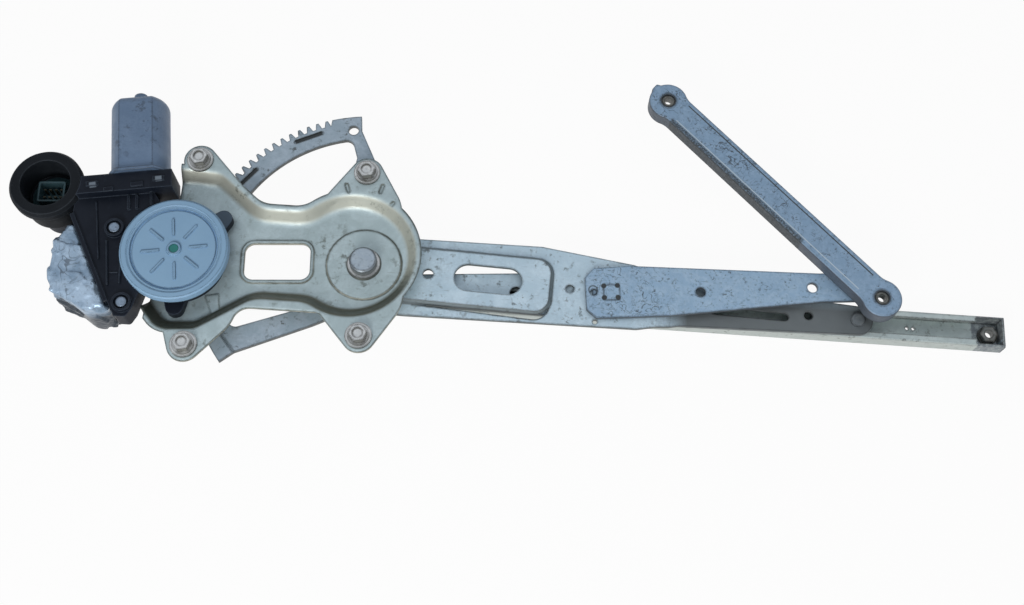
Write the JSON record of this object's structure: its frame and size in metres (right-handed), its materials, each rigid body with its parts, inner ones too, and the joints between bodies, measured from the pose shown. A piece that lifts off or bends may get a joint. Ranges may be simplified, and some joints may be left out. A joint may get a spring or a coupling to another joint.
{
  "type": "x_arm_power_window_regulator",
  "caption": "Power window regulator of a car door: a motor turns a toothed sector that swings two crossed arms and lifts the glass rail",
  "frame": {"origin": "the main pivot's axis in the plane of the four ears' front faces", "axes": "+X along the glass rail, +Y up across the door, +Z out of the ears towards the door's inner panel"},
  "size_m": [0.6313, 0.2153, 0.0532],
  "materials": {
    "zinc_plated_steel": "yellowish zinc plate",
    "grey_painted_steel": "dull grey coat, worn at the edges",
    "pale_painted_steel": "pale blue-grey coat",
    "motor_paint": "blue-grey paint",
    "bare_steel": "dull machined steel",
    "black_plastic": "black, slightly dusty",
    "pale_plastic": "pale blue-grey",
    "grey_plastic": "grey-green, dull",
    "damper_rubber": "black rubber",
    "foil": "crumpled silver film",
    "copper_and_bronze": "bronze",
    "board_green": "green laminate"
  },
  "bodies": {
    "base": {"base_plate": "zinc_plated_steel", "brush_plate": "black_plastic", "brushes": "black_plastic", "can_bearing": "copper_and_bronze", "case_screws": "bare_steel", "circuit_board": "board_green", "connector_boot": "grey_plastic", "connector_socket": "black_plastic", "connector_terminals": "bare_steel", "control_unit_case": "black_plastic", "cover_plug": "grey_plastic", "ear_bolts": "zinc_plated_steel", "ear_washers": "zinc_plated_steel", "ear_weld_nuts": "zinc_plated_steel", "gear_case": "black_plastic", "gear_cover": "pale_plastic", "main_pivot_collar": "zinc_plated_steel", "main_pivot_end_washer": "bare_steel", "main_pivot_pin": "zinc_plated_steel", "main_pivot_spacer": "bare_steel", "motor_can": "motor_paint", "motor_magnets": "bare_steel", "motor_screws": "bare_steel", "silver_cover": "foil", "worm_bearings": "copper_and_bronze"},
    "lift": {"lift_arm": "grey_painted_steel", "sector_gear": "grey_painted_steel", "sector_rivets": "bare_steel", "main_pivot_bush": "copper_and_bronze", "lift_arm_roller_pin": "bare_steel"},
    "output": {"output_shaft": "bare_steel", "output_pinion": "bare_steel", "worm_wheel": "pale_plastic", "wheel_damper": "damper_rubber", "wheel_hub": "bare_steel"},
    "armature": {"armature_core": "bare_steel", "armature_shaft": "bare_steel", "commutator": "copper_and_bronze"},
    "equalizer": {"equalizer_arm_front": "pale_painted_steel", "equalizer_arm_rear": "grey_painted_steel", "centre_pin": "bare_steel", "centre_washers": "bare_steel", "rear_roller_pin": "bare_steel", "front_roller_pin": "bare_steel"},
    "lift_roller": {"lift_arm_roller": "grey_plastic"},
    "rear_roller": {"rear_roller": "grey_plastic"},
    "rail": {"glass_rail": "pale_painted_steel", "rail_weld_nuts": "bare_steel"},
    "front_roller": {"front_roller": "grey_plastic"},
    "bracket": {"equalizer_bracket": "pale_painted_steel", "bracket_weld_nuts": "bare_steel"}
  },
  "joints": [
    {"name": "lift", "type": "hinge", "parent": "base", "child": "lift", "pos_m": [0, 0, -0.0155], "axis": [0, 0, 1], "range_deg": [-22, 64]},
    {"name": "output_turn", "type": "hinge", "parent": "base", "child": "output", "pos_m": [-0.11489, -0.00502, -0.011], "axis": [0, 0, 1], "range_deg": [-753.9, 259.2]},
    {"name": "armature_spin", "type": "hinge", "parent": "base", "child": "armature", "pos_m": [-0.13658, -0.00869, -0.0015], "axis": [-0.1668, 0.986, 0], "range_deg": [-36937, 12698]},
    {"name": "equalizer_pivot", "type": "hinge", "parent": "lift", "child": "equalizer", "pos_m": [0.15622, -0.00491, -0.02025], "axis": [0, 0, 1], "range_deg": [-128, 44]},
    {"name": "lift_roller_spin", "type": "hinge", "parent": "lift", "child": "lift_roller", "pos_m": [0.31245, -0.00982, -0.0317], "axis": [0, 0, 1], "continuous": true},
    {"name": "rail_pivot", "type": "hinge", "parent": "equalizer", "child": "rear_roller", "pos_m": [0, -0.00982, -0.0317], "axis": [0, 0, 1], "range_deg": [-22, 64]},
    {"name": "rail_slide", "type": "slide", "parent": "rear_roller", "child": "rail", "axis": [1, 0, 0], "range_m": [-0.065, 0.004]},
    {"name": "bracket_pivot", "type": "hinge", "parent": "equalizer", "child": "front_roller", "pos_m": [0.31178, 0.01034, -0.0095], "axis": [0, 0, 1], "range_deg": [-45, 108]},
    {"name": "bracket_slide", "type": "slide", "parent": "front_roller", "child": "bracket", "axis": [0.7242, -0.6896, 0], "range_m": [0, 0.155]}
  ],
  "couplings": [
    {"joint": "output_turn", "follows": "lift", "ratio": -11.778},
    {"joint": "armature_spin", "follows": "lift", "ratio": -577.11},
    {"joint": "equalizer_pivot", "follows": "lift", "ratio": -2},
    {"joint": "rail_pivot", "follows": "lift", "ratio": 1}
  ]
}
